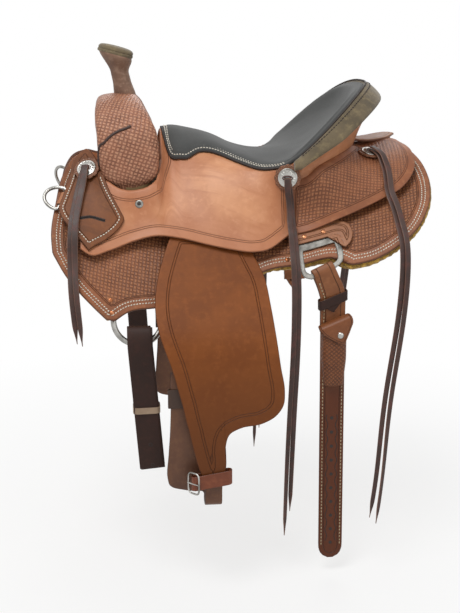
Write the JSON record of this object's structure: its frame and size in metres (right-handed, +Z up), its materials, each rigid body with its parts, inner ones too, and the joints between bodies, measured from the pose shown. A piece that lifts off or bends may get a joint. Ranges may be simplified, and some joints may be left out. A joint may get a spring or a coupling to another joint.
{
  "type": "ranch saddle",
  "caption": "Western ranch saddle with roping horn, padded seat, tooled skirts and jockeys, fenders, rigging rings, latigo, billets, conchos and long strings.",
  "frame": {"origin": "on the centre line over the horse's spine, level with the tops of the skirts' flanks at the middle of the seat", "axes": "-X towards the horse's head (the horn end), -Y the near side (rider's left), +Z up"},
  "size_m": [0.6894, 0.5998, 0.919],
  "materials": {
    "tooled_leather": "tooled",
    "smooth_leather": "satin",
    "fender_leather": "satin",
    "charcoal_suede": "suede",
    "roughout_leather": "roughout",
    "woolskin": "pile",
    "latigo_leather": "oiled",
    "hobble_leather": "satin",
    "tree_rawhide": "rawhide covered",
    "stainless_steel": "brushed",
    "horn_wrap_leather": "matte"
  },
  "bodies": {
    "saddle": {"breast_chape_near": "tooled_leather", "breast_chape_off": "tooled_leather", "cantle_back": "tooled_leather", "cantle_binding": "roughout_leather", "concho_front_near": "stainless_steel", "concho_front_off": "stainless_steel", "concho_mid_near": "stainless_steel", "concho_mid_off": "stainless_steel", "concho_rear_near": "stainless_steel", "concho_rear_off": "stainless_steel", "fleece_near": "woolskin", "fleece_off": "woolskin", "fork_cover": "tooled_leather", "ground_seat": "tree_rawhide", "horn": "stainless_steel", "horn_cap": "roughout_leather", "horn_wrap": "horn_wrap_leather", "latigo_keeper": "tooled_leather", "rear_dee_near": "stainless_steel", "rear_dee_off": "stainless_steel", "rear_jockey_near": "tooled_leather", "rear_jockey_off": "tooled_leather", "rear_jockey_plate": "smooth_leather", "rear_rigging_near": "smooth_leather", "rear_rigging_off": "smooth_leather", "rigging_ring_near": "stainless_steel", "rigging_ring_off": "stainless_steel", "seat_leather": "smooth_leather", "seat_pad": "charcoal_suede", "skirt_near": "tooled_leather", "skirt_off": "tooled_leather", "string_front_near": "latigo_leather", "string_front_off": "latigo_leather", "string_mid_near": "latigo_leather", "string_mid_off": "latigo_leather", "string_rear_near": "latigo_leather", "string_rear_off": "latigo_leather", "tree_bar_near": "tree_rawhide", "tree_bar_off": "tree_rawhide", "tree_cantle": "tree_rawhide", "tree_fork": "tree_rawhide"},
    "fender_near": {"fender_near": "fender_leather", "stirrup_leather_near": "tooled_leather", "hobble_strap_near": "hobble_leather", "hobble_buckle_near": "stainless_steel"},
    "fender_off": {"fender_off": "fender_leather", "stirrup_leather_off": "tooled_leather", "hobble_strap_off": "hobble_leather", "hobble_buckle_off": "stainless_steel"},
    "sleeve_near": {"stirrup_sleeve_near": "smooth_leather"},
    "sleeve_off": {"stirrup_sleeve_off": "smooth_leather"},
    "breast_dee_near": {"breast_dee_near": "stainless_steel"},
    "breast_dee_off": {"breast_dee_off": "stainless_steel"},
    "rear_billet_near": {"rear_billet_near": "tooled_leather", "billet_keeper_near": "latigo_leather", "knife_sheath": "tooled_leather"},
    "rear_billet_off": {"rear_billet_off": "tooled_leather"},
    "sheath_flap": {"sheath_flap": "tooled_leather"},
    "latigo": {"latigo": "latigo_leather"},
    "off_billet": {"off_billet": "latigo_leather"}
  },
  "joints": [
    {"name": "fender_near_swing", "type": "hinge", "parent": "saddle", "child": "fender_near", "pos_m": [-0.05, -0.15767, -0.07195], "axis": [0, -0.8345, 0.551], "range_deg": [-9, 12]},
    {"name": "fender_off_swing", "type": "hinge", "parent": "saddle", "child": "fender_off", "pos_m": [-0.05, 0.15767, -0.07195], "axis": [0, -0.8345, -0.551], "range_deg": [-9, 12]},
    {"name": "sleeve_near_slide", "type": "slide", "parent": "fender_near", "child": "sleeve_near", "axis": [0, 0, 1], "range_m": [-0.045, 0.022]},
    {"name": "sleeve_off_slide", "type": "slide", "parent": "fender_off", "child": "sleeve_off", "axis": [0, 0, 1], "range_m": [-0.045, 0.022]},
    {"name": "breast_dee_near_swing", "type": "hinge", "parent": "saddle", "child": "breast_dee_near", "pos_m": [-0.306, -0.11829, -0.01496], "axis": [0.3746, 0.6011, 0.706], "range_deg": [-6, 50]},
    {"name": "breast_dee_off_swing", "type": "hinge", "parent": "saddle", "child": "breast_dee_off", "pos_m": [-0.306, 0.11829, -0.01496], "axis": [-0.3746, 0.6011, -0.706], "range_deg": [-50, 50]},
    {"name": "rear_billet_near_swing", "type": "hinge", "parent": "saddle", "child": "rear_billet_near", "pos_m": [0.13975, -0.21333, -0.13164], "axis": [0.9095, 0.1039, 0.4025], "range_deg": [-60, 8]},
    {"name": "rear_billet_off_swing", "type": "hinge", "parent": "saddle", "child": "rear_billet_off", "pos_m": [0.13975, 0.21333, -0.13164], "axis": [-0.9095, 0.1039, -0.4025], "range_deg": [-60, 8]},
    {"name": "sheath_flap_lift", "type": "hinge", "parent": "rear_billet_near", "child": "sheath_flap", "pos_m": [0.15923, -0.21864, -0.2215], "axis": [-0.922, 0, -0.3872], "range_deg": [0, 45]},
    {"name": "latigo_swing", "type": "hinge", "parent": "saddle", "child": "latigo", "pos_m": [-0.181, -0.22924, -0.24915], "axis": [-1, 0, 0], "range_deg": [-8, 55]},
    {"name": "off_billet_swing", "type": "hinge", "parent": "saddle", "child": "off_billet", "pos_m": [-0.181, 0.22924, -0.24915], "axis": [1, 0, 0], "range_deg": [-8, 60]}
  ]
}
